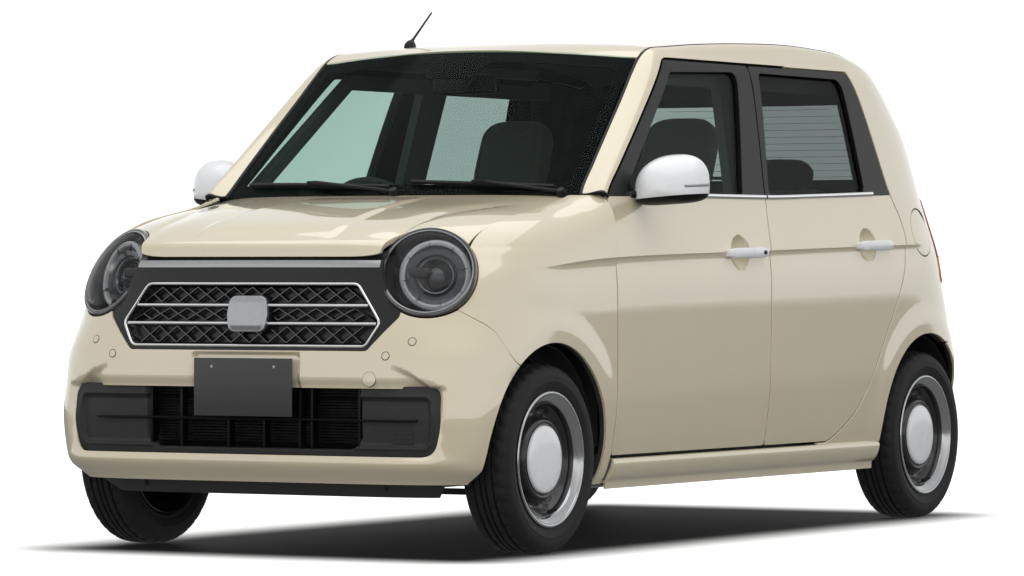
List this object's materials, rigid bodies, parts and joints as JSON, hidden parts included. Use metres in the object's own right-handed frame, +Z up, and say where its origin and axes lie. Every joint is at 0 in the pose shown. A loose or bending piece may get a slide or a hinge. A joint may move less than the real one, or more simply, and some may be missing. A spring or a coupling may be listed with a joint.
{
  "type": "kei car",
  "caption": "Small hatchback car with round headlamps, hollow cabin, opening doors, bonnet and tailgate, and front wheels that steer and roll.",
  "frame": {"origin": "on the ground below the middle of the car's box", "axes": "+X to the car's left, -Y to its front, +Z up"},
  "size_m": [1.7914, 3.407, 1.6298],
  "materials": {
    "body_paint": "gloss",
    "glass": "polished",
    "privacy_glass": "polished",
    "tyre": "matte",
    "wheel_steel": "satin",
    "white_trim": "gloss",
    "seat_cloth": "woven",
    "lamp_dark": "gloss",
    "lamp_red": "gloss",
    "chassis_black": "satin",
    "engine_metal": "cast",
    "exhaust_steel": "satin",
    "underbody": "matte",
    "plate": "satin",
    "black_plastic": "grained"
  },
  "bodies": {
    "body": {"floor_pan": "underbody", "body_sides": "body_paint", "roof": "body_paint", "front_wings": "body_paint", "bulkhead": "underbody", "windscreen": "glass", "front_bumper": "body_paint", "grille": "black_plastic", "headlamps": "lamp_dark", "rear_quarters": "body_paint", "rear_bumper": "body_paint", "tail_lamps": "lamp_red", "wheel_liners": "black_plastic", "engine": "engine_metal", "dashboard": "black_plastic", "front_seats": "seat_cloth", "rear_seat": "seat_cloth", "front_suspension": "chassis_black", "rear_axle": "chassis_black", "fuel_tank": "black_plastic", "exhaust": "exhaust_steel", "antenna": "black_plastic", "number_plates": "plate"},
    "bonnet": {"bonnet": "body_paint"},
    "tailgate": {"tailgate": "body_paint", "tailgate_glass": "privacy_glass"},
    "fuel_flap": {"fuel_flap": "body_paint"},
    "steering_wheel": {"steering_wheel": "black_plastic"},
    "front_door_left": {"front_door_left": "body_paint", "front_window_left": "glass", "door_mirror_left": "white_trim"},
    "rear_door_left": {"rear_door_left": "body_paint", "rear_window_left": "privacy_glass"},
    "knuckle_left": {"knuckle_left": "chassis_black"},
    "wheel_front_left": {"wheel_front_left": "wheel_steel", "tyre_front_left": "tyre"},
    "wheel_rear_left": {"wheel_rear_left": "wheel_steel", "tyre_rear_left": "tyre"},
    "front_door_right": {"front_door_right": "body_paint", "front_window_right": "glass", "door_mirror_right": "white_trim"},
    "rear_door_right": {"rear_door_right": "body_paint", "rear_window_right": "privacy_glass"},
    "knuckle_right": {"knuckle_right": "chassis_black"},
    "wheel_front_right": {"wheel_front_right": "wheel_steel", "tyre_front_right": "tyre"},
    "wheel_rear_right": {"wheel_rear_right": "wheel_steel", "tyre_rear_right": "tyre"}
  },
  "joints": [
    {"name": "front_door_left_hinge", "type": "hinge", "parent": "body", "child": "front_door_left", "pos_m": [0.7325, -0.815, 0.65], "axis": [0, 0, -1], "range_deg": [0, 66]},
    {"name": "rear_door_left_hinge", "type": "hinge", "parent": "body", "child": "rear_door_left", "pos_m": [0.7325, 0.18, 0.65], "axis": [0, 0, -1], "range_deg": [0, 66]},
    {"name": "front_door_right_hinge", "type": "hinge", "parent": "body", "child": "front_door_right", "pos_m": [-0.7325, -0.815, 0.65], "axis": [0, 0, 1], "range_deg": [0, 66]},
    {"name": "rear_door_right_hinge", "type": "hinge", "parent": "body", "child": "rear_door_right", "pos_m": [-0.7325, 0.18, 0.65], "axis": [0, 0, 1], "range_deg": [0, 66]},
    {"name": "bonnet_hinge", "type": "hinge", "parent": "body", "child": "bonnet", "pos_m": [0, -0.85, 1.046], "axis": [-1, 0, 0], "range_deg": [0, 50]},
    {"name": "tailgate_hinge", "type": "hinge", "parent": "body", "child": "tailgate", "pos_m": [0, 1.4, 1.482], "axis": [1, 0, 0], "range_deg": [0, 78]},
    {"name": "fuel_flap_hinge", "type": "hinge", "parent": "body", "child": "fuel_flap", "pos_m": [0.7125, 1.237, 0.935], "axis": [0, 0, -1], "range_deg": [0, 95]},
    {"name": "steer_left", "type": "hinge", "parent": "body", "child": "knuckle_left", "pos_m": [0.585, -1.203, 0.19], "axis": [-0.138, 0, 0.9904], "range_deg": [-35, 35]},
    {"name": "steer_right", "type": "hinge", "parent": "body", "child": "knuckle_right", "pos_m": [-0.585, -1.203, 0.19], "axis": [0.138, 0, 0.9904], "range_deg": [-35, 35]},
    {"name": "steering_wheel_turn", "type": "hinge", "parent": "body", "child": "steering_wheel", "pos_m": [-0.31, -0.43, 0.93], "axis": [0, 0.8829, 0.4695], "range_deg": [-470, 470]},
    {"name": "wheel_front_left_spin", "type": "hinge", "parent": "knuckle_left", "child": "wheel_front_left", "pos_m": [0.6525, -1.203, 0.274], "axis": [1, 0, 0], "continuous": true},
    {"name": "wheel_rear_left_spin", "type": "hinge", "parent": "body", "child": "wheel_rear_left", "pos_m": [0.6525, 1.317, 0.274], "axis": [1, 0, 0], "continuous": true},
    {"name": "wheel_front_right_spin", "type": "hinge", "parent": "knuckle_right", "child": "wheel_front_right", "pos_m": [-0.6525, -1.203, 0.274], "axis": [1, 0, 0], "continuous": true},
    {"name": "wheel_rear_right_spin", "type": "hinge", "parent": "body", "child": "wheel_rear_right", "pos_m": [-0.6525, 1.317, 0.274], "axis": [1, 0, 0], "continuous": true}
  ],
  "couplings": [
    {"joint": "steer_right", "follows": "steer_left", "ratio": 1},
    {"joint": "steering_wheel_turn", "follows": "steer_left", "ratio": 13}
  ]
}
